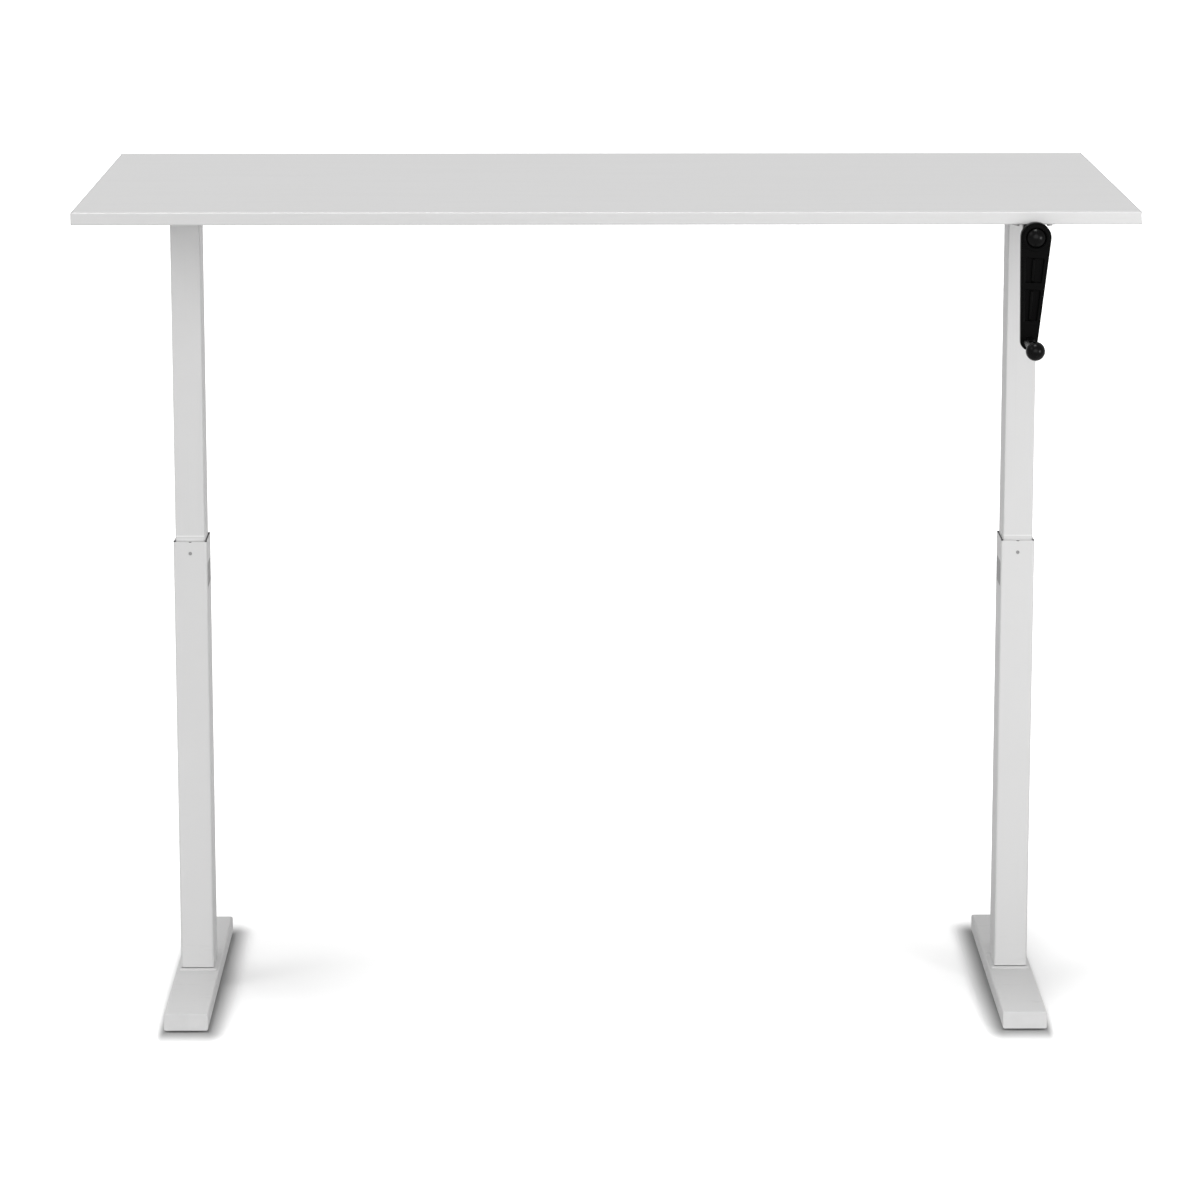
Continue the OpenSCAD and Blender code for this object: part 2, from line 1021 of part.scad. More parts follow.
module crank_screw() {
  seat = arm_thickness - cap_skirt;
  color(bare_steel)
    at_crank(arm_back)
      translate([0, 0, seat])
        difference() {
          union() {
            translate([0, 0, past - seat])
              cylinder(r = arm_screw_radius, h = seat - past);
            cylinder(r = arm_screw_head, h = 2.4);
          }
          translate([0, 0, 1])
            hex_bar(4, past + 2);
        }
}

// Domed button that snaps over the screw
module crank_cap() {
  dome = (cap_radius * cap_radius + cap_rise * cap_rise) / (2 * cap_rise);
  base = arm_thickness;
  color(black_plastic)
    at_crank(arm_back)
      difference() {
        union() {
          translate([0, 0, arm_thickness - cap_skirt])
            cylinder(r = cap_radius, h = cap_skirt);
          intersection() {
            translate([0, 0, base])
              cylinder(r = cap_radius, h = cap_rise + past);
            translate([0, 0, base + cap_rise - dome])
              sphere(r = dome);
          }
        }
        translate([0, 0, arm_thickness - cap_skirt - past])
          cylinder(r = cap_radius - 1.5, h = cap_skirt + past);
      }
}

// Steel pin with a flange against the arm and a barb that keeps the grip on
module grip_pin() {
  color(bare_steel)
    at_crank(arm_back)
      translate([0, -crank_radius, 0]) {
        cylinder(r = pin_radius, h = arm_thickness + pin_length);
        translate([0, 0, arm_thickness])
          cylinder(r = pin_flange, h = pin_flange_height);
        translate([0, 0, arm_thickness + pin_length - pin_barb_height])
          cylinder(r = pin_barb, h = pin_barb_height);
      }
}

module grip() {
  start = pin_flange_height + running_fit;
  ball_level = grip_length - grip_ball;
  color(black_plastic)
    at_crank(arm_front)
      translate([0, -crank_radius, 0])
        difference() {
          union() {
            translate([0, 0, start])
              cylinder(r1 = grip_root, r2 = grip_neck, h = ball_level - start);
            translate([0, 0, ball_level])
              sphere(r = grip_ball);
          }
          cylinder(r = pin_radius + running_fit, h = pin_length);
          translate([0, 0, pin_length - pin_barb_height - running_fit])
            cylinder(r = pin_barb + running_fit, h = pin_barb_height + 2 * running_fit);
        }
}

// ---- front bearing of the crank rod ----

module rod_bearing() {
  color(black_plastic)
    at_desk()
      difference() {
        translate([crank_x, bearing_y, underside]) {
          translate([0, 0, -bearing_drop])
            block(2 * bearing_half, bearing_thickness, bearing_drop);
          translate([0, 0, -bracket_plate])
            block(2 * bearing_flange, bearing_thickness, bracket_plate);
        }
        translate([crank_x, bearing_y + bearing_thickness, drive_level])
          to_front()
            cylinder(r = rod_radius + running_fit, h = 2 * bearing_thickness);
        screw_places()
          translate([0, 0, -bracket_plate - past])
            cylinder(r = screw_radius + part_fit, h = bracket_plate + 2 * past);
      }
}

// ---- one line for each sub-part ----

worktop();
edge_strip();
bracket_left();
bracket_right();
rail_front();
rail_back();
gearbox_left();
gearbox_right();
inner_column_left();
inner_column_right();
lower_glides();
rod_bearing();
worktop_screws();
rail_bolts();
outer_column_left();
outer_column_right();
upper_glides();
glide_windows();
base_plates();
foot_left();
foot_right();
foot_caps();
foot_pads();
nut_tubes();
lift_nuts();
spindle_left();
wheel_left();
spindle_right();
wheel_right();
cross_shaft();
shaft_pinions();
idler_shaft();
idler_gears();
crank_rod();
crank_gear();
crank_arm();
crank_screw();
crank_cap();
grip_pin();
grip();
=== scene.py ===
# %% [markdown]
# # A standing desk wound up by hand
# A desk like this has a white board on two telescopic steel columns, two flat feet and one black
# crank at the front. Its sizes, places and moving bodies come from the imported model, so every
# piece here is put where that model says and rides on the body that carries it.

# %% Load the frame
import json
import math

import bmesh
import bpy
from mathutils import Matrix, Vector


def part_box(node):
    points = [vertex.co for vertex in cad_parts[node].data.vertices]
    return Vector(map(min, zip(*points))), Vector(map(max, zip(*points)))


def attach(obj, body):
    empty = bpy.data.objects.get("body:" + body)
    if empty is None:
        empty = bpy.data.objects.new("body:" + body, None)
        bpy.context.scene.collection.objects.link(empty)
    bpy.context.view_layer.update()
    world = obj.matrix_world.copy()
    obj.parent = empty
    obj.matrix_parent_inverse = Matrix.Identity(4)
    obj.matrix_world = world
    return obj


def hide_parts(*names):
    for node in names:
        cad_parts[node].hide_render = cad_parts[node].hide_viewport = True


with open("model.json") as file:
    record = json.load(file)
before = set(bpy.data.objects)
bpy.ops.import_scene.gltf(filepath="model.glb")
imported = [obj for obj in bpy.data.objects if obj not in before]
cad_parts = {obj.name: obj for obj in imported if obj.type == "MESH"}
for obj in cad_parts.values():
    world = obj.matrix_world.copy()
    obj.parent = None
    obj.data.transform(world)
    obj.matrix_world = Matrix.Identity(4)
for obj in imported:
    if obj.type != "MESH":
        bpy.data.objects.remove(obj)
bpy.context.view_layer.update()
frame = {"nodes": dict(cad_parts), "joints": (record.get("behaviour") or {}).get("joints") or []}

# %% [markdown]
# ## The camera
# The desk is seen from the front, from about head height above a raised top, through a long lens.
# A long lens far away keeps the columns nearly upright and the top nearly a plain band.

# %% Place the camera
SENSOR = 36
LENS = 134.94
STAND = (-0.0666, -6.5634, 2.0022)
DOWNWARD = 0.193
SIDEWARD = -0.0089
UPSHIFT = -0.0601
FAR_CLIP = 200

bpy.ops.object.camera_add(
    location=STAND, rotation=(math.pi / 2 - DOWNWARD, 0, SIDEWARD)
)
camera = bpy.context.object
camera.data.sensor_width = SENSOR
camera.data.lens = LENS
camera.data.shift_y = UPSHIFT
camera.data.clip_end = FAR_CLIP
bpy.context.scene.camera = camera
print("lens", LENS, "mm at", [round(x, 2) for x in camera.location])

# %% [markdown]
# ## The studio
# The desk stands on a white sweep that is lit until it burns out, helped by a painted glow away
# from the feet, so only the shadows near the feet are left; a painted shadow darkens the floor
# close to each foot. An even white sky does most of it. A broad lamp low in front lifts the faces
# that look forward, one overhead lights the board and draws the bright arris, and a weak one at
# the left throws a faint shadow to the right of each foot.

# %% Build the floor and the lights
FLOOR_REACH = 70
SKY = 0.58
BACKDROP = 1.1
EDGE_LAMP_PLACE = (1.75, -1.45, 1.19)
EDGE_LAMP_AIM = (0.65, -0.35, 1.15)
EDGE_LAMP_SIZE = 0.4
EDGE_LAMP_WATTS = 9

scene = bpy.context.scene
scene.view_settings.view_transform = "Standard"
world = bpy.data.worlds.new("studio_sky")
world.use_nodes = True
sky_nodes = world.node_tree.nodes
sky_path = sky_nodes.new("ShaderNodeLightPath")
sky_level = sky_nodes.new("ShaderNodeMapRange")
sky_level.inputs["To Min"].default_value = SKY
sky_level.inputs["To Max"].default_value = BACKDROP
world.node_tree.links.new(sky_path.outputs["Is Camera Ray"], sky_level.inputs["Value"])
world.node_tree.links.new(sky_level.outputs[0], sky_nodes["Background"].inputs["Strength"])
sky_nodes["Background"].inputs["Color"].default_value = (1, 1, 1, 1)
scene.world = world


def turn_towards(thing, target):
    """Turns a lamp so that it shines at a point."""
    way = Vector(target) - thing.location
    thing.rotation_euler = way.to_track_quat("-Z", "Y").to_euler()


def far_lamp(name, place, strength, softness):
    """A lamp so far off that it lights everything evenly, with a soft edge in degrees."""
    bpy.ops.object.light_add(type="SUN", location=place)
    lamp = bpy.context.object
    lamp.name = name
    lamp.data.energy = strength
    lamp.data.angle = math.radians(softness)
    turn_towards(lamp, (0, 0, 0))


far_lamp("front_lamp", (-0.3, -5.0, 1.1), 1.16, 46)
far_lamp("top_lamp", (-0.4, -0.6, 5.0), 1.15, 20)
far_lamp("side_lamp", (-3.4, -1.6, 2.6), 0.26, 26)

bpy.ops.object.light_add(type="AREA", location=EDGE_LAMP_PLACE)
edge_lamp = bpy.context.object
edge_lamp.name = "edge_lamp"
edge_lamp.data.size = EDGE_LAMP_SIZE
edge_lamp.data.energy = EDGE_LAMP_WATTS
turn_towards(edge_lamp, EDGE_LAMP_AIM)

bpy.ops.mesh.primitive_plane_add(size=2 * FLOOR_REACH, location=(0, 0, 0))
floor = bpy.context.object
floor.name = "studio_floor"
print("floor reaches", FLOOR_REACH, "m each way")

# %% [markdown]
# ## Mixing a finish
# A finish is a small network of shader nodes. Written out one node at a time it is hard to read,
# so one class holds the material and one method makes any node. A second class wraps a socket, so
# that sums can be written as Python and each sign becomes a Math node.


# %% Sockets that can be added and multiplied
class Wire:
    """A socket in a finish. A sum or product of wires adds a Math node."""

    def __init__(self, finish, socket):
        self.finish = finish
        self.socket = socket

    def sum(self, operation, first, second=0.0, third=0.0):
        """One Math node of any kind."""
        values = {0: first, 1: second, 2: third}
        return self.finish.node("Math", {"operation": operation}, values)

    def __add__(self, other):
        return self.sum("ADD", self, other)

    def __radd__(self, other):
        return self.sum("ADD", other, self)

    def __sub__(self, other):
        return self.sum("SUBTRACT", self, other)

    def __rsub__(self, other):
        return self.sum("SUBTRACT", other, self)

    def __mul__(self, other):
        return self.sum("MULTIPLY", self, other)

    def __rmul__(self, other):
        return self.sum("MULTIPLY", other, self)

    def __gt__(self, other):
        return self.sum("GREATER_THAN", self, other)

    def __lt__(self, other):
        return self.sum("LESS_THAN", self, other)

    def clamped(self):
        """The same value, kept between 0 and 1."""
        made = self.sum("ADD", self, 0.0)
        made.socket.node.use_clamp = True
        return made


# %% A finish with its nodes
class Finish:
    """A material with a Principled shader, read from the piece's own coordinates."""

    def __init__(self, name, **constants):
        self.material = bpy.data.materials.new(name)
        self.material.use_nodes = True
        self.tree = self.material.node_tree
        self.shader = self.tree.nodes["Principled BSDF"]
        for socket, value in constants.items():
            self.shader.inputs[socket.replace("_", " ")].default_value = value
        self.place = self.node("TexCoord", out="Object")

    def node(self, kind, settings=None, values=None, out=0):
        """Makes any node: its settings first, then its sockets' values or wires."""
        made = self.tree.nodes.new("ShaderNode" + kind)
        for key, value in (settings or {}).items():
            if key == "stops":
                for stop, (position, shade) in zip(made.color_ramp.elements, value):
                    stop.position = position
                    stop.color = (shade, shade, shade, 1)
            else:
                setattr(made, key, value)
        for key, value in (values or {}).items():
            if isinstance(value, Wire):
                self.tree.links.new(value.socket, made.inputs[key])
            else:
                made.inputs[key].default_value = value
        return Wire(self, made.outputs[out])

    def feed(self, socket, wire):
        """Leads a wire into one of the shader's own sockets."""
        self.tree.links.new(wire.socket, self.shader.inputs[socket])

    def stretched(self, x, y, z):
        """The piece's coordinates, stretched along each axis."""
        return self.node("Mapping", {}, {0: self.place, "Scale": (x, y, z)})

    def noise(self, scale, detail=3, place=None, roughness=0.5):
        """A cloudy pattern from 0 to 1, with scale patches to the metre."""
        return self.node(
            "TexNoise",
            {},
            {
                "Vector": place or self.place,
                "Scale": scale,
                "Detail": detail,
                "Roughness": roughness,
            },
        )

    def ramp(self, wire, low, high):
        """Turns a smooth pattern into a mask that rises from low to high."""
        return self.node("ValToRGB", {"stops": [(low, 0), (high, 1)]}, {0: wire})

    def mix(self, mask, one, other):
        """A colour that goes from one to the other with the mask."""
        return self.node("Mix", {"data_type": "RGBA"}, {0: mask, 6: one, 7: other}, out=2)

    def height(self, axis):
        """One of the piece's coordinates by itself: 0, 1 or 2."""
        return self.node("SeparateXYZ", {}, {0: self.place}, out=axis)

    def bump(self, height, distance, strength=1.0):
        """Dents the surface by a pattern, distance metres deep."""
        values = {"Height": height, "Distance": distance, "Strength": strength}
        self.feed("Normal", self.node("Bump", {}, values))


def grey(level, warmth=0.0):
    """A near-neutral colour, a little warmer where warmth is above 0."""
    return (level + warmth, level, level - warmth, 1)


print("finish tools ready")

# %% [markdown]
# ## White powder coat
# The steel is sprayed with powder and baked. The skin has a fine orange peel, its gloss wanders a
# little, and the low parts collect faint grey scuffs from shoes and cleaning.


# %% Mix the powder coat
SCUFF_TOP = 0.10
SCUFF_FULL = 0.01
RUB_BAND = 0.010


def powder_coat(name, rub_level=None):
    """White powder coat. rub_level is where a sliding tube rubs it: a height in metres."""
    coat = Finish(name, IOR=1.48, Coat_Weight=0.12, Coat_Roughness=0.22)
    peel = coat.noise(420, 4)
    grain = coat.noise(1700, 2)
    cloud = coat.noise(5, 3)
    shade = coat.mix(cloud, grey(0.655), grey(0.625, 0.002))
    shade = coat.mix(coat.ramp(grain, 0.35, 0.75) * 0.10, shade, grey(0.54))
    level = coat.height(2)
    low_down = coat.node(
        "MapRange", {}, {"Value": level, "From Min": SCUFF_TOP, "From Max": SCUFF_FULL}
    )
    scuffs = coat.ramp(coat.noise(60, 5, coat.stretched(0.4, 1, 2.6), 0.62), 0.58, 0.72)
    shade = coat.mix(low_down * scuffs * 0.28, shade, grey(0.42, 0.006))
    gloss = 0.36 + cloud * 0.08 + grain * 0.05
    if rub_level is not None:
        near = (level > rub_level) * (level < rub_level + RUB_BAND)
        lines = coat.ramp(coat.noise(1, 2, coat.stretched(3, 3, 420)), 0.48, 0.6)
        shade = coat.mix(near * lines * 0.8, shade, grey(0.86))
        streaks = coat.ramp(coat.noise(1, 3, coat.stretched(500, 500, 3)), 0.52, 0.7)
        shade = coat.mix(streaks * 0.06, shade, grey(0.5))
        gloss = gloss - streaks * 0.08
    coat.feed("Base Color", shade)
    coat.feed("Roughness", gloss)
    coat.bump(peel * 0.7 + grain * 0.3, 0.00022, 0.35)
    return coat.material


JOINT_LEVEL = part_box("outer_column_left")[1].z
steel_white = powder_coat("white_powder_coat")
tube_white = powder_coat("white_powder_coat_rubbed", JOINT_LEVEL + 0.001)
print("powder coat, rubbed above", round(JOINT_LEVEL, 3), "m")

# %% [markdown]
# ## The board and its edge
# The board is chipboard faced with white melamine, which has a very fine pearl under a satin
# shine. Its edge is a strip of white plastic, smoother and a touch brighter, with a scraped arris.


# %% Mix the melamine and the edge strip
def melamine():
    """Satin white melamine with a fine pearl and faint wipe marks."""
    face = Finish("white_melamine", IOR=1.5, Coat_Weight=0.18, Coat_Roughness=0.3)
    pearl = face.noise(1300, 3)
    cloud = face.noise(2.2, 4)
    wipes = face.ramp(face.noise(1.5, 6, face.stretched(2, 14, 2), 0.7), 0.45, 0.8)
    shade = face.mix(cloud, grey(0.67), grey(0.65, 0.002))
    shade = face.mix(face.ramp(pearl, 0.4, 0.8) * 0.08, shade, grey(0.74))
    face.feed("Base Color", shade)
    face.feed("Roughness", 0.33 + cloud * 0.06 + wipes * 0.07)
    face.bump(pearl, 0.00008, 0.3)
    return face.material


def strip_plastic():
    """Smooth white plastic with faint lines along the way it was drawn."""
    strip = Finish("white_edge_strip", IOR=1.5, Coat_Weight=1.0, Coat_Roughness=0.22)
    drawn = strip.noise(1, 3, strip.stretched(6, 6, 900))
    flow = strip.noise(24, 4, strip.stretched(1, 1, 4))
    strip.feed("Base Color", strip.mix(flow, grey(0.61), grey(0.585, 0.002)))
    strip.feed("Roughness", 0.24 + flow * 0.08 + drawn * 0.05)
    strip.bump(drawn, 0.00006, 0.4)
    return strip.material


board_white = melamine()
strip_white = strip_plastic()
print("melamine and edge strip mixed")

# %% [markdown]
# ## Moulded plastics
# Injection moulded parts carry the texture of their mould: a fine even grain on the crank and
# caps, almost a mirror on the knob. Handling polishes patches of it and leaves hairline scratches.


# %% Mix the plastics
def moulded(name, level, gloss, grain_depth, worn=0.25, warmth=0.0, sheen=0.5):
    """Moulded plastic of one grey level, with mould grain, handled patches and scratches."""
    part = Finish(name, IOR=1.5, Specular_IOR_Level=sheen)
    grain = part.noise(2600, 2)
    patches = part.noise(38, 3)
    hairs = part.ramp(part.noise(9, 7, part.stretched(30, 1, 6), 0.75), 0.60, 0.66)
    lift = level * 0.5 + 0.004
    shade = part.mix(patches, grey(level, warmth), grey(level * 0.86, warmth))
    shade = part.mix(hairs * worn * 0.5, shade, grey(level + lift, warmth))
    part.feed("Base Color", shade)
    part.feed("Roughness", gloss + patches * 0.10 + hairs * 0.12 - 0.05)
    part.bump(grain, 0.00012, grain_depth)
    return part.material


crank_black = moulded("black_moulded_plastic", 0.0012, 0.36, 0.35, sheen=0.05)
knob_black = moulded("black_polished_plastic", 0.0008, 0.26, 0.05, sheen=0.13)
glide_black = moulded("black_glide_plastic", 0.02, 0.46, 0.3)
cap_white = moulded("white_moulded_cap", 0.66, 0.40, 0.3, worn=0.1)
window_grey = moulded("grey_moulded_plastic", 0.30, 0.42, 0.4)
nut_ivory = moulded("ivory_nut_plastic", 0.62, 0.42, 0.2, warmth=0.05)
print("plastics mixed")

# %% [markdown]
# ## Bare metals
# Screws, rods and shafts are zinc plated: bright, faintly mottled, with fine lathe lines. The
# gearboxes and gears are cast, so they are darker and pebbly, and oil darkens them in patches.


# %% Mix the metals
def zinc():
    """Bright zinc plating with a crystal mottle and lathe lines."""
    metal = Finish("zinc_plated_steel", Metallic=1.0)
    crystals = metal.node("TexVoronoi", {}, {"Vector": metal.place, "Scale": 260})
    turned = metal.noise(1, 3, metal.stretched(900, 120, 900))
    shade = metal.mix(crystals, grey(0.62), grey(0.50, 0.006))
    metal.feed("Base Color", shade)
    metal.feed("Roughness", 0.26 + crystals * 0.14 + turned * 0.10)
    metal.bump(turned, 0.00006, 0.4)
    return metal.material


def casting():
    """Pebbly cast metal, darkened by oil in patches."""
    metal = Finish("cast_metal", Metallic=0.85)
    pebbles = metal.noise(700, 4)
    oil = metal.ramp(metal.noise(26, 4), 0.42, 0.62)
    shade = metal.mix(oil, grey(0.34), grey(0.16, 0.006))
    metal.feed("Base Color", shade)
    metal.feed("Roughness", 0.52 + pebbles * 0.12 - oil * 0.22)
    metal.bump(pebbles, 0.0005, 0.5)
    return metal.material


zinc_steel = zinc()
cast_grey = casting()
print("metals mixed")

# %% [markdown]
# ## Modelling helpers
# Every piece starts as a primitive at its real size and place, is shaped in edit mode, and gets
# its rounded edges from modifiers. Edges and faces are picked by where they are and where they
# face, as a hand would click them.


# %% Pick, shape and finish
def only(piece):
    """Leaves one piece selected and active."""
    if bpy.context.mode != "OBJECT":
        bpy.ops.object.mode_set(mode="OBJECT")
    bpy.ops.object.select_all(action="DESELECT")
    piece.select_set(True)
    bpy.context.view_layer.objects.active = piece


def pick(piece, kind, rule):
    """Selects in edit mode the faces or edges that pass a rule on their middle and direction."""
    bpy.ops.mesh.select_mode(type=kind)
    bpy.ops.mesh.select_all(action="DESELECT")
    shape = bmesh.from_edit_mesh(piece.data)
    if kind == "FACE":
        for face in shape.faces:
            face.select = rule(face.calc_center_median(), face.normal)
    else:
        for edge in shape.edges:
            one, other = (v.co for v in edge.verts)
            edge.select = rule((one + other) / 2, (other - one).normalized())
    shape.select_flush_mode()
    bmesh.update_edit_mesh(piece.data)


def settle(piece):
    """Puts a piece's place, turn and scale into its mesh."""
    only(piece)
    bpy.ops.object.transform_apply(location=True, rotation=True, scale=True)
    return piece


def block(name, low, high):
    """A block between two corners."""
    bpy.ops.object.select_all(action="DESELECT")
    low, high = Vector(low), Vector(high)
    bpy.ops.mesh.primitive_cube_add(size=1, location=(low + high) / 2)
    piece = bpy.context.object
    piece.name = name
    piece.scale = high - low
    return settle(piece)


def rod(name, centre, radius, length, axis, sides=64):
    """A round bar about its centre, along X, Y or Z."""
    turns = {"X": (0, math.pi / 2, 0), "Y": (math.pi / 2, 0, 0), "Z": (0, 0, 0)}
    bpy.ops.object.select_all(action="DESELECT")
    bpy.ops.mesh.primitive_cylinder_add(
        vertices=sides, radius=radius, depth=length, location=centre, rotation=turns[axis]
    )
    piece = bpy.context.object
    piece.name = name
    return settle(piece)


STRAIGHT = 0.99
SQUARE = 0.99999
MERGE = 1e-6


def along(axis, direction):
    """Whether an edge or normal runs along an axis, 0, 1 or 2."""
    return abs(direction[axis]) > STRAIGHT


def round_edges(piece, axis, radius, segments=5):
    """Rounds a block's long edges that run along an axis."""
    only(piece)
    bpy.ops.object.mode_set(mode="EDIT")
    pick(piece, "EDGE", lambda middle, way: along(axis, way))
    bpy.ops.mesh.bevel(offset=radius, segments=segments, affect="EDGES")
    bpy.ops.object.mode_set(mode="OBJECT")
    return piece


def use(piece, kind, **settings):
    """Adds a modifier, sets it and applies it."""
    only(piece)
    modifier = piece.modifiers.new(kind.lower(), kind)
    for key, value in settings.items():
        setattr(modifier, key, value)
    bpy.ops.object.modifier_apply(modifier=modifier.name)
    return piece


def smooth(piece, angle):
    """Smooths the rounded faces and leaves the faces that lie along an axis flat."""
    only(piece)
    bpy.ops.object.shade_smooth_by_angle(angle=math.radians(angle))
    for face in piece.data.polygons:
        if max(abs(way) for way in face.normal) > SQUARE:
            face.use_smooth = False
    return piece


SMOOTH_ANGLE = 50


def soften(piece, width, segments=3, angle=40):
    """Rounds every sharp edge a little, then shades the piece smooth with flat faces kept flat."""
    use(
        piece,
        "BEVEL",
        width=width,
        segments=segments,
        limit_method="ANGLE",
        angle_limit=math.radians(angle),
        use_clamp_overlap=True,
    )
    return smooth(piece, SMOOTH_ANGLE)


def outward(piece):
    """Merges doubled points and turns every face outwards."""
    only(piece)
    bpy.ops.object.mode_set(mode="EDIT")
    bpy.ops.mesh.select_all(action="SELECT")
    bpy.ops.mesh.remove_doubles(threshold=MERGE)
    bpy.ops.mesh.normals_make_consistent(inside=False)
    bpy.ops.object.mode_set(mode="OBJECT")
    return piece


def cut(piece, cutter):
    """Cuts one shape out of another and throws the cutter away."""
    use(piece, "BOOLEAN", operation="DIFFERENCE", solver="EXACT", object=cutter)
    bpy.data.objects.remove(cutter)
    return piece


def join(piece, *others):
    """Makes several shapes one piece."""
    only(piece)
    for other in others:
        other.select_set(True)
    bpy.ops.object.join()
    return piece


def copy(piece, name):
    """A copy with a mesh of its own."""
    only(piece)
    bpy.ops.object.duplicate(linked=False)
    made = bpy.context.object
    made.name = name
    return made


def moved(piece, name, x=0, y=0, z=0):
    """A copy moved by so much along each axis."""
    made = copy(piece, name)
    made.location = (x, y, z)
    return settle(made)


def mirrored(piece, name):
    """A copy on the other side of the desk."""
    made = copy(piece, name)
    made.scale = (-1, 1, 1)
    return outward(settle(made))


def give(piece, finish, body, slot, *nodes):
    """Paints a piece, puts it on its body and lets it stand for its CAD nodes."""
    piece.data.materials.clear()
    piece.data.materials.append(finish)
    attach(piece, body)
    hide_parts(*nodes)
    triangles = sum(len(face.vertices) - 2 for face in piece.data.polygons)
    print(f"{piece.name}: {triangles} triangles, on {body}")


# %% [markdown]
# ## The worktop
# The board is a plain slab whose faces are pressed flat, with a hairline where the edge strip
# meets it. The strip is bent round the board and its arrises are scraped round, which is what
# draws the bright line along the front.

# %% Model the board and its strip
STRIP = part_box("worktop")[0].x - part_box("edge_strip")[0].x
SEAM = 0.00025
ARRIS = 0.0018

low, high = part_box("worktop")
board = block("worktop_board", low, high)
soften(board, SEAM, segments=2)
give(board, board_white, "top", "white_board", "worktop")

low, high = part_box("edge_strip")
strip = block("worktop_edge", low, high)
round_edges(strip, 2, STRIP * 0.9)
bpy.ops.object.mode_set(mode="EDIT")
pick(strip, "FACE", lambda middle, normal: along(2, normal))
bpy.ops.mesh.delete(type="FACE")
bpy.ops.object.mode_set(mode="OBJECT")
use(strip, "SOLIDIFY", thickness=STRIP - SEAM / 2, offset=-1)
outward(strip)
bpy.ops.object.mode_set(mode="EDIT")
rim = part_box("edge_strip")


def outer_arris(middle, way):
    """The strip's long outer edges, top and bottom."""
    flat = abs(way.z) < 0.1
    outside = min(middle.x - rim[0].x, rim[1].x - middle.x) < STRIP / 2
    outside = outside or min(middle.y - rim[0].y, rim[1].y - middle.y) < STRIP / 2
    return flat and outside


pick(strip, "EDGE", outer_arris)
bpy.ops.mesh.bevel(offset=ARRIS, segments=5, affect="EDGES")
bpy.ops.object.mode_set(mode="OBJECT")
smooth(strip, SMOOTH_ANGLE - 10)
give(strip, strip_white, "top", "white_edge", "edge_strip")

# %% [markdown]
# ## The columns
# Each column is two rolled tubes, one sliding in the other. A tube is made from a block: its ends
# are opened, its long edges rounded, and a modifier gives the sheet its thickness. The outer one
# also has a small hole near its top and a window on the inner side, both cut through the wall.


# %% Model the tubes
WALL = 0.0015
CORNER = 0.003


def tube(name, low, high, axis, corner, wall):
    """An open tube along an axis, with rounded corners."""
    piece = block(name, low, high)
    round_edges(piece, axis, corner)
    bpy.ops.object.mode_set(mode="EDIT")
    pick(piece, "FACE", lambda middle, normal: along(axis, normal))
    bpy.ops.mesh.delete(type="FACE")
    bpy.ops.object.mode_set(mode="OBJECT")
    use(piece, "SOLIDIFY", thickness=wall, offset=-1, use_even_offset=True)
    return outward(piece)


def drill(piece, centre, radius):
    """Drills a hole along Y through one wall of a tube."""
    cut(piece, rod("drill", centre, radius, 4 * WALL, "Y", 32))


HOLE_DROP = 0.018
HOLE_RADIUS = 0.0026
NOTCH_RADIUS = 0.0035
NOTCH_RISE = 0.0022
window_low, window_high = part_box("glide_windows")
low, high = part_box("outer_column_right")
outer = tube("outer_tube_right", low, high, 2, CORNER, WALL)
middle_x = (low.x + high.x) / 2
drill(outer, (middle_x, low.y, high.z - HOLE_DROP), HOLE_RADIUS)
drill(outer, (middle_x, low.y, high.z + NOTCH_RISE), NOTCH_RADIUS)
window = block(
    "window_punch",
    (low.x - WALL, window_low.y, window_low.z),
    (low.x + 2 * WALL, window_high.y, window_high.z),
)
round_edges(window, 0, 0.003)
cut(outer, window)
soften(outer, 0.0004, segments=2, angle=55)
outer_left = mirrored(outer, "outer_tube_left")
give(outer, steel_white, "base", "white_steel", "outer_column_right")
give(outer_left, steel_white, "base", "white_steel", "outer_column_left")

low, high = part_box("inner_column_right")
inner = tube("inner_tube_right", low, high, 2, CORNER * 0.75, WALL)
soften(inner, 0.0004, segments=2, angle=55)
inner_left = mirrored(inner, "inner_tube_left")
give(inner, tube_white, "top", "white_steel", "inner_column_right")
give(inner_left, tube_white, "top", "white_steel", "inner_column_left")

# %% [markdown]
# ## Glides
# Plastic sleeves fill the narrow gap between the tubes, so steel never rubs on steel. Only the
# rim of the upper one shows, down in the gap, with a small nub at each corner of the tube. The
# grey pad in the window is its fixing lug, ribbed so that it flexes as it clips in.

# %% Model the glides and the pads
outer_low, outer_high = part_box("outer_column_right")
inner_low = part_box("inner_column_right")[0]
gap = inner_low.x - outer_low.x - WALL
rim_level = outer_high.z - 0.0005
sleeve = tube(
    "upper_glide_right",
    (outer_low.x + WALL, outer_low.y + WALL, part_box("upper_glides")[0].z),
    (outer_high.x - WALL, outer_high.y - WALL, rim_level),
    2,
    CORNER * 0.6,
    gap * 0.9,
)
soften(sleeve, 0.0003, segments=2)
NUB = 0.0034
for x in (outer_low.x, outer_high.x - NUB):
    for y in (outer_low.y, outer_high.y - NUB):
        nub = block("nub", (x, y, rim_level), (x + NUB, y + NUB, outer_high.z + 0.0013))
        soften(nub, 0.0009, segments=3)
        join(sleeve, nub)
sleeve_left = mirrored(sleeve, "upper_glide_left")
give(sleeve, glide_black, "base", "black_plastic", "upper_glides")
give(sleeve_left, glide_black, "base", "black_plastic")

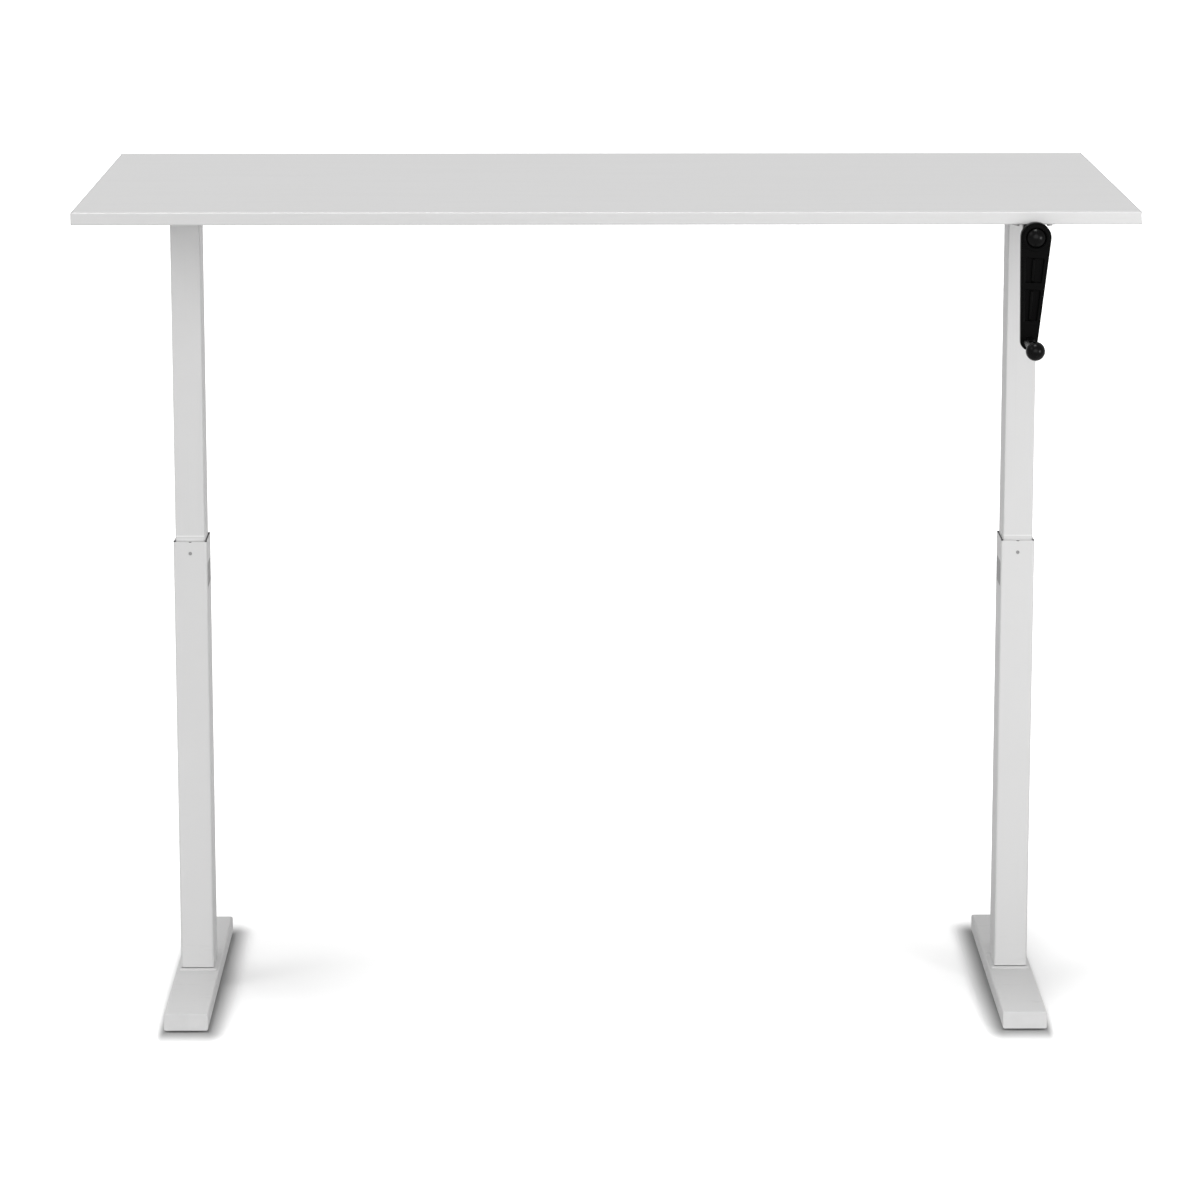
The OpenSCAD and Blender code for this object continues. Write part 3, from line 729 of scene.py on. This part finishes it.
RIBS = 5
pad_low = Vector((outer_low.x + 0.0004, window_low.y + 0.0003, window_low.z + 0.0003))
pad_high = Vector((outer_low.x + WALL, window_high.y - 0.0003, window_high.z - 0.0003))
lug = block("window_lug_right", pad_low, pad_high)
round_edges(lug, 0, 0.0028)
bpy.ops.object.mode_set(mode="EDIT")
pick(lug, "FACE", lambda middle, normal: normal.x < -0.9)
bpy.ops.mesh.inset(thickness=0.0022, depth=-0.0003)
bpy.ops.object.mode_set(mode="OBJECT")
soften(lug, 0.00015, segments=2)
step = (pad_high.z - pad_low.z - 0.008) / RIBS
for count in range(RIBS):
    level = pad_low.z + 0.004 + step * (count + 0.5)
    rib = block(
        "rib",
        (pad_low.x + 0.00005, pad_low.y + 0.005, level - 0.0011),
        (pad_high.x, pad_high.y - 0.005, level + 0.0011),
    )
    soften(rib, 0.0003, segments=2)
    join(lug, rib)
peg = rod(
    "peg", (middle_x, outer_low.y + 0.0012, outer_high.z - HOLE_DROP), HOLE_RADIUS, 0.0016, "Y", 32
)
soften(peg, 0.0004, segments=2)
join(lug, peg)
lug_left = mirrored(lug, "window_lug_left")
give(lug, window_grey, "base", "grey_plastic", "glide_windows")
give(lug_left, window_grey, "base", "grey_plastic")

# %% [markdown]
# ## The feet
# A foot is a flat steel tube with a moulded cap pushed into each end. The column stands on a
# plate that is welded on, and the weld leaves a sloping bead all round, painted over with the
# rest. Round rubber pads keep the steel off the floor.

# %% Model a foot
FOOT_WALL = 0.0015
low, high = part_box("foot_right")
foot = tube("foot_tube_right", low, high, 1, CORNER, FOOT_WALL)
soften(foot, 0.0003, segments=2, angle=55)
foot_left = mirrored(foot, "foot_tube_left")
give(foot, steel_white, "base", "white_steel", "foot_right")
give(foot_left, steel_white, "base", "white_steel", "foot_left")

# %% Model an end cap and copy it
cap_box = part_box("foot_caps")
cap_low, cap_high = cap_box
cap = block("foot_cap", (low.x, cap_low.y, low.z), (high.x, low.y - 0.0004, high.z))
round_edges(cap, 1, CORNER)
bpy.ops.object.mode_set(mode="EDIT")
pick(cap, "FACE", lambda middle, normal: normal.y < -0.9)
bpy.ops.mesh.inset(thickness=0.0016)
bpy.ops.object.mode_set(mode="OBJECT")
soften(cap, 0.0009, segments=3)
plug = tube(
    "plug",
    (low.x + 0.002, low.y - 0.001, low.z + 0.002),
    (high.x - 0.002, low.y + 0.018, high.z - 0.002),
    1,
    CORNER * 0.6,
    0.0018,
)
join(cap, plug)
cap_back = copy(cap, "foot_cap_right_back")
cap_back.scale = (1, -1, 1)
cap_back.location = (0, low.y + high.y, 0)
outward(settle(cap_back))
cap.name = "foot_cap_right_front"
cap_left = mirrored(cap, "foot_cap_left_front")
cap_back_left = mirrored(cap_back, "foot_cap_left_back")
give(cap, cap_white, "base", "white_cap", "foot_caps")
for piece in (cap_back, cap_left, cap_back_left):
    give(piece, cap_white, "base", "white_cap")

# %% Model a rubber pad and copy it
PAD_RADIUS = 0.017
pad_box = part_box("foot_pads")
foot_box = (low, high)
foot_x = (low.x + high.x) / 2
pad_front = pad_box[0].y + PAD_RADIUS
pad = rod(
    "foot_pad",
    (pad_box[1].x - PAD_RADIUS, pad_front, low.z / 2),
    PAD_RADIUS,
    low.z - 0.0002,
    "Z",
)
pad.location.z = 0.0001
settle(pad)
bpy.ops.object.mode_set(mode="EDIT")
for thickness, depth in ((0.003, 0), (0.0012, -0.0006), (0.0012, 0), (0.0012, 0.0006)):
    if depth == 0:
        pick(
            pad,
            "FACE",
            lambda middle, normal: normal.z < -0.9
            and (middle.xy - Vector((pad_box[1].x - PAD_RADIUS, pad_front))).length < 1e-4,
        )
    bpy.ops.mesh.inset(thickness=thickness, depth=depth)
bpy.ops.object.mode_set(mode="OBJECT")
soften(pad, 0.0005, segments=2)
pad_back = moved(pad, "foot_pad_right_back", y=pad_box[1].y - PAD_RADIUS - pad_front)
pad.name = "foot_pad_right_front"
pad_left = mirrored(pad, "foot_pad_left_front")
pad_back_left = mirrored(pad_back, "foot_pad_left_back")
give(pad, glide_black, "base", "black_plastic", "foot_pads")
for piece in (pad_back, pad_left, pad_back_left):
    give(piece, glide_black, "base", "black_plastic")

# %% Model the plate and its weld
SILL = 0.0009
BEAD = 0.0004
SLOPES = ((0.45, 0.25), (0.45, 0.12))
plate_low, plate_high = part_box("base_plates")
column_low, column_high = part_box("outer_column_right")
margin = plate_high.x - column_high.x
plate = block(
    "base_plate_right",
    (column_low.x - margin, plate_low.y, plate_low.z),
    (column_high.x + margin, plate_high.y, plate_low.z + SILL),
)
round_edges(plate, 2, CORNER + margin / 2)
bpy.ops.object.mode_set(mode="EDIT")
pick(plate, "FACE", lambda middle, normal: normal.z > 0.9)
for inward, upward in SLOPES:
    bpy.ops.mesh.inset(thickness=margin * inward)
    bpy.ops.transform.translate(value=(0, 0, (plate_high.z - plate_low.z) * upward))
bpy.ops.mesh.inset(thickness=margin * 0.08)
bpy.ops.transform.translate(value=(0, 0, BEAD))
bpy.ops.object.mode_set(mode="OBJECT")
soften(plate, 0.0006, segments=2, angle=25)
plate_left = mirrored(plate, "base_plate_left")
give(plate, steel_white, "base", "white_steel", "base_plates")
give(plate_left, steel_white, "base", "white_steel")

# %% [markdown]
# ## Under the worktop
# Two pressed brackets, two rails, the gearboxes and their screws sit under the board. Their
# shapes are right in the model, but a pressed or cast edge is never knife sharp. A copy of each
# is merged, cleaned to its real faces, and given rounded edges.


# %% Round the edges of the steelwork
def rounded_copy(node, name, width, segments=2):
    """A copy of a CAD node with merged points, clean faces and rounded edges."""
    made = copy(frame["nodes"][node], name)
    made.parent = None
    for key in list(made.keys()):
        del made[key]
    made.hide_render = made.hide_viewport = False
    only(made)
    bpy.ops.object.mode_set(mode="EDIT")
    bpy.ops.mesh.select_all(action="SELECT")
    bpy.ops.mesh.remove_doubles(threshold=2 * MERGE)
    bpy.ops.mesh.dissolve_limited(angle_limit=math.radians(0.5))
    bpy.ops.object.mode_set(mode="OBJECT")
    return soften(made, width, segments, angle=45)


STEELWORK = {
    "bracket_left": (0.0005, steel_white, "top", "white_steel"),
    "bracket_right": (0.0005, steel_white, "top", "white_steel"),
    "rail_front": (0.0006, steel_white, "top", "white_steel"),
    "rail_back": (0.0006, steel_white, "top", "white_steel"),
    "gearbox_left": (0.0010, cast_grey, "top", "cast_metal"),
    "gearbox_right": (0.0010, cast_grey, "top", "cast_metal"),
    "rod_bearing": (0.0008, glide_black, "top", "black_plastic"),
    "worktop_screws": (0.0003, zinc_steel, "top", "bare_steel"),
    "rail_bolts": (0.0004, zinc_steel, "top", "bare_steel"),
    "lower_glides": (0.0003, glide_black, "top", "black_plastic"),
    "cross_shaft": (0.0004, zinc_steel, "cross_shaft", "bare_steel"),
    "crank_rod": (0.0005, zinc_steel, "crank", "bare_steel"),
}
for node, (width, finish, body, slot) in STEELWORK.items():
    give(rounded_copy(node, node + "_rounded", width), finish, body, slot, node)

# %% Paint what stays as it is in the model
HIDDEN_WORKS = {
    "nut_tubes": zinc_steel,
    "lift_nuts": nut_ivory,
    "spindle_left": zinc_steel,
    "spindle_right": zinc_steel,
    "wheel_left": cast_grey,
    "wheel_right": cast_grey,
    "shaft_pinions": cast_grey,
    "idler_shaft": zinc_steel,
    "idler_gears": cast_grey,
    "crank_gear": cast_grey,
    "crank_screw": zinc_steel,
    "grip_pin": zinc_steel,
}
for node, finish in HIDDEN_WORKS.items():
    shown = frame["nodes"][node]
    for place in shown.material_slots:
        place.material = finish
print(len(HIDDEN_WORKS), "sealed pieces painted")

# %% [markdown]
# ## The crank
# The arm is one moulding: a wide boss at the rod, a long taper, and a small end for the grip. Its
# outline is the band round two circles, so it starts as one circle whose lower half is carried
# down and shrunk. Pockets keep the wall thickness even, and a raised ring frames the glossy cap.

# %% Draw and thicken the arm
hub = Vector(next(j["pos_m"] for j in frame["joints"] if j["name"] == "crank_turn"))
spin = Vector(next(j["pos_m"] for j in frame["joints"] if j["name"] == "grip_spin"))
arm_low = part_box("crank_arm")[0]
HUB_RADIUS = 0.0215
END_RADIUS = 0.012
arm_way = Vector((spin.x - hub.x, 0, spin.z - hub.z))
REACH = arm_way.length
LEAN = math.atan2(-arm_way.x, -arm_way.z)
ARM_THICK = 0.014
RING = 0.002
face_y = arm_low.y + RING
back_y = face_y + ARM_THICK


def leaned(piece):
    """Turns a piece drawn straight down by the arm's lean, about the hub."""
    only(piece)
    bpy.ops.object.mode_set(mode="EDIT")
    bpy.ops.mesh.select_all(action="SELECT")
    bpy.ops.transform.rotate(
        value=-LEAN, orient_axis="Y", center_override=(hub.x, 0, hub.z)
    )
    bpy.ops.object.mode_set(mode="OBJECT")
    return piece


def taper(name, top_radius, end_radius, top_drop, end_drop, front, back):
    """A band round two circles, one above the other, between two depths."""
    bpy.ops.object.select_all(action="DESELECT")
    bpy.ops.mesh.primitive_circle_add(
        vertices=72,
        radius=top_radius,
        fill_type="NGON",
        location=(hub.x, front, hub.z - top_drop),
        rotation=(math.pi / 2, 0, 0),
    )
    piece = bpy.context.object
    piece.name = name
    settle(piece)
    bpy.ops.object.mode_set(mode="EDIT")
    shape = bmesh.from_edit_mesh(piece.data)
    for corner in shape.verts:
        corner.select = corner.co.z < hub.z - top_drop - 1e-5
    shape.select_flush_mode()
    bmesh.update_edit_mesh(piece.data)
    bpy.ops.mesh.select_mode(type="VERT")
    centre = (hub.x, front, hub.z - top_drop)
    ratio = end_radius / top_radius
    bpy.ops.transform.resize(value=(ratio, 1, ratio), center_override=centre)
    bpy.ops.transform.translate(value=(0, 0, top_drop - end_drop))
    bpy.ops.mesh.select_all(action="SELECT")
    bpy.ops.mesh.extrude_region_move(
        TRANSFORM_OT_translate={"value": (0, back - front, 0)}
    )
    bpy.ops.object.mode_set(mode="OBJECT")
    return outward(piece)


def half_width(share):
    """Half the arm's width at a share of its length."""
    return HUB_RADIUS + (END_RADIUS - HUB_RADIUS) * share


arm = taper("crank_arm_body", HUB_RADIUS, END_RADIUS, 0, REACH, face_y, back_y)

# %% Sink the pockets and raise the ring
POCKETS = ((0.195, 0.43, 0.0062), (0.50, 0.80, 0.0056))
POCKET_DEPTH = 0.006
RIDGE_LEFT = 0.0030
RIDGE_RIGHT = 0.0014
RIDGE_END = 0.0016
for start, end, rim_width in POCKETS:
    wide, narrow = half_width(start) - rim_width, half_width(end) - rim_width
    pocket = block(
        "pocket",
        (hub.x - wide, face_y - 0.003, hub.z - end * REACH),
        (hub.x + wide, face_y + POCKET_DEPTH, hub.z - start * REACH),
    )
    bpy.ops.object.mode_set(mode="EDIT")
    pick(pocket, "FACE", lambda middle, normal: normal.z < -0.9)
    share = narrow / wide
    bpy.ops.transform.resize(value=(share, 1, 1))
    bpy.ops.object.mode_set(mode="OBJECT")
    round_edges(pocket, 1, 0.0018)
    cut(arm, pocket)
    ridge = block(
        "ridge",
        (hub.x - RIDGE_LEFT, face_y + RIDGE_END, hub.z - end * REACH + RIDGE_END),
        (hub.x + RIDGE_RIGHT, face_y + POCKET_DEPTH + RING / 2, hub.z - start * REACH - RIDGE_END),
    )
    join(arm, ridge)
soften(arm, 0.0011, segments=3, angle=50)

RING_OUTER = HUB_RADIUS - 0.0025
RING_INNER = HUB_RADIUS - 0.007
BOSS_RADIUS = 0.0088
ring = rod("ring", (hub.x, face_y, hub.z), RING_OUTER, 2 * RING, "Y", 72)
well = rod("well", (hub.x, face_y, hub.z), RING_INNER, 0.02, "Y", 72)
cut(ring, well)
soften(ring, 0.0008, segments=3)
join(arm, ring)
boss = rod("pin_boss", (hub.x, face_y, hub.z - REACH), BOSS_RADIUS, RING, "Y", 48)
soften(boss, 0.0006, segments=2)
join(arm, boss)
leaned(arm)
give(arm, crank_black, "crank", "black_plastic", "crank_arm")

# %% [markdown]
# ## The cap and the grip
# The hub is closed by a domed cap, polished so that it catches the lamp. The grip is one turned
# shape: a flared root, a slim neck and a ball. Its outline is drawn as a line of points and spun
# about the pin, so the ball and neck flow into each other.


# %% Spin the two round pieces
def turned(name, centre, profile, sides=64):
    """Spins a profile of (radius, depth) points about an axis along Y."""
    bpy.ops.object.select_all(action="DESELECT")
    bpy.ops.mesh.primitive_plane_add(size=0.001, location=(0, 0, 0))
    piece = bpy.context.object
    piece.name = name
    bpy.ops.object.mode_set(mode="EDIT")
    bpy.ops.mesh.delete(type="VERT")
    shape = bmesh.from_edit_mesh(piece.data)
    dots = [shape.verts.new((centre.x + r, y, centre.z)) for r, y in profile]
    for one, other in zip(dots, dots[1:]):
        shape.edges.new((one, other))
    bmesh.update_edit_mesh(piece.data)
    bpy.ops.mesh.select_all(action="SELECT")
    bpy.ops.mesh.spin(
        steps=sides, angle=2 * math.pi, center=(centre.x, 0, centre.z), axis=(0, 1, 0)
    )
    bpy.ops.object.mode_set(mode="OBJECT")
    outward(piece)
    bpy.ops.object.shade_smooth_by_angle(angle=math.radians(35))
    return piece


def arc(radius, centre_y, start, end, count):
    """Points of a circle on the axis, from one angle to another, in degrees from the tip."""
    angles = [math.radians(start + (end - start) * k / count) for k in range(count + 1)]
    return [(radius * math.sin(a), centre_y - radius * math.cos(a)) for a in angles]


cap_low, cap_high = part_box("crank_cap")
dome_radius = (cap_high.x - cap_low.x) / 2
dome_rise = face_y - cap_low.y
curve = (dome_radius**2 + dome_rise**2) / (2 * dome_rise)
half_angle = math.degrees(math.asin(min(1, (dome_radius - 0.0006) / curve)))
dome = [(0, cap_low.y)] + arc(curve, cap_low.y + curve, 2, half_angle, 14)
edge_y = dome[-1][1]
dome += [(dome_radius, edge_y + 0.0006), (dome_radius, cap_high.y), (0, cap_high.y)]
cap_piece = turned("crank_cap_dome", Vector((hub.x, 0, hub.z)), dome)
give(cap_piece, knob_black, "crank", "black_gloss", "crank_cap")

# %% Spin the grip
grip_low, grip_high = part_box("grip")
BALL = 0.0134
ROOT = 0.0082
NECK = 0.0068
ball_y = grip_low.y + BALL
profile = [(0, grip_low.y)] + arc(BALL, ball_y, 5, 143, 24)
neck_y = profile[-1][1]
length = grip_high.y - neck_y
profile += [
    (profile[-1][0] * 0.97, neck_y + 0.0014),
    (NECK + 0.0008, neck_y + 0.006),
    (NECK + 0.0004, neck_y + 0.35 * length),
    (NECK, neck_y + 0.7 * length),
    (ROOT - 0.0004, grip_high.y - 0.006),
    (ROOT, grip_high.y - 0.003),
    (ROOT, grip_high.y - 0.0006),
    (ROOT - 0.0006, grip_high.y),
    (0, grip_high.y),
]
grip = turned("crank_grip", Vector((spin.x, 0, spin.z)), profile)
give(grip, knob_black, "grip", "black_gloss", "grip")

# %% [markdown]
# ## The floor's finish
# The floor is matt white paper. Further from the feet it glows a little, as a lit table does, so
# that only the shadows close to the feet are left: a painted glow, seen by the camera only, that
# is weakest a little to the right of each foot. Close to each foot a contact shadow is painted
# into the paper's colour, reaching furthest along the inner side and past the ends. It is clear
# from below, so the underside can be looked at.

# %% Paint the floor
# A painted glow on the floor, for the camera only: its strength, where it starts and where it is
# full, how far right of each foot it is weakest, and its least share.
GLOW = 0.45
GLOW_START = 0.02
GLOW_FULL = 0.36
GLOW_SHIFT = 0.06
GLOW_LEAST = 0.36
DEPTH_SHARE = 0.7
BOUNCE = 0.66
# How far the painted contact shadow reaches from a foot, and the grey at its darkest.
PAINTED_SHADOW_REACH = 0.046
PAINTED_SHADOW_DARK = 0.34
FRONT_SPREAD = 0.55
OUTER_SPREAD = 2.5
PAPER_WHITE = 0.98

paper = Finish("studio_paper", Roughness=1.0, Specular_IOR_Level=0.0)
seen = paper.node("LightPath", out=0)
across = paper.height(0)
side_way = across.sum("ABSOLUTE", across)
depth_way = paper.height(1)
off_side = side_way - foot_x
off_depth = (depth_way - (foot_box[0].y + foot_box[1].y) / 2) * DEPTH_SHARE
shifted = off_side - across.sum("SIGN", across) * GLOW_SHIFT
away = across.sum("SQRT", shifted * shifted + off_depth * off_depth)
# Painted light: the glow grows with distance from a point a little to the right of each foot.
glow = paper.node(
    "MapRange",
    {},
    {"Value": away, "From Min": GLOW_START, "From Max": GLOW_FULL, "To Min": GLOW_LEAST},
)
# Painted contact shadow: a mask that rises from 0 at each foot to 1 away from it, reaching
# furthest along the inner side and past the ends, and least on the outer side.
half_long = (cap_box[1].y - cap_box[0].y) / 2
middle_y = (cap_box[0].y + cap_box[1].y) / 2
half_wide = (foot_box[1].x - foot_box[0].x) / 2
side_gap = (off_side * -1 - half_wide).clamped()
depth_gap = (across.sum("ABSOLUTE", depth_way - middle_y) - half_long).clamped() * FRONT_SPREAD
outer_gap = (off_side - half_wide).clamped() * OUTER_SPREAD
gap_squared = side_gap * side_gap + depth_gap * depth_gap + outer_gap * outer_gap
painted_shadow_fade = paper.node(
    "MapRange",
    {"interpolation_type": "SMOOTHERSTEP"},
    {"Value": across.sum("SQRT", gap_squared), "From Min": -0.01, "From Max": PAINTED_SHADOW_REACH},
)
# The camera sees the paper with its painted contact shadow; other rays see the plain bounce grey.
painted_shadow_tone = paper.mix(painted_shadow_fade, grey(PAINTED_SHADOW_DARK), grey(PAPER_WHITE))
paper.feed("Base Color", paper.mix(seen, grey(BOUNCE), painted_shadow_tone))
# Painted light: the glow, kept off the painted contact shadow, brightens the paper for the camera
# only.
paper.feed("Emission Color", paper.mix(glow * painted_shadow_fade * seen, grey(0), grey(GLOW)))
paper.shader.inputs["Emission Strength"].default_value = 1.0
tree = paper.material.node_tree
facing = tree.nodes.new("ShaderNodeNewGeometry")
clear = tree.nodes.new("ShaderNodeBsdfTransparent")
blend = tree.nodes.new("ShaderNodeMixShader")
ending = next(node for node in tree.nodes if node.type == "OUTPUT_MATERIAL")
tree.links.new(facing.outputs["Backfacing"], blend.inputs[0])
tree.links.new(paper.shader.outputs[0], blend.inputs[1])
tree.links.new(clear.outputs[0], blend.inputs[2])
tree.links.new(blend.outputs[0], ending.inputs["Surface"])
floor.data.materials.append(paper.material)
print("floor painted")
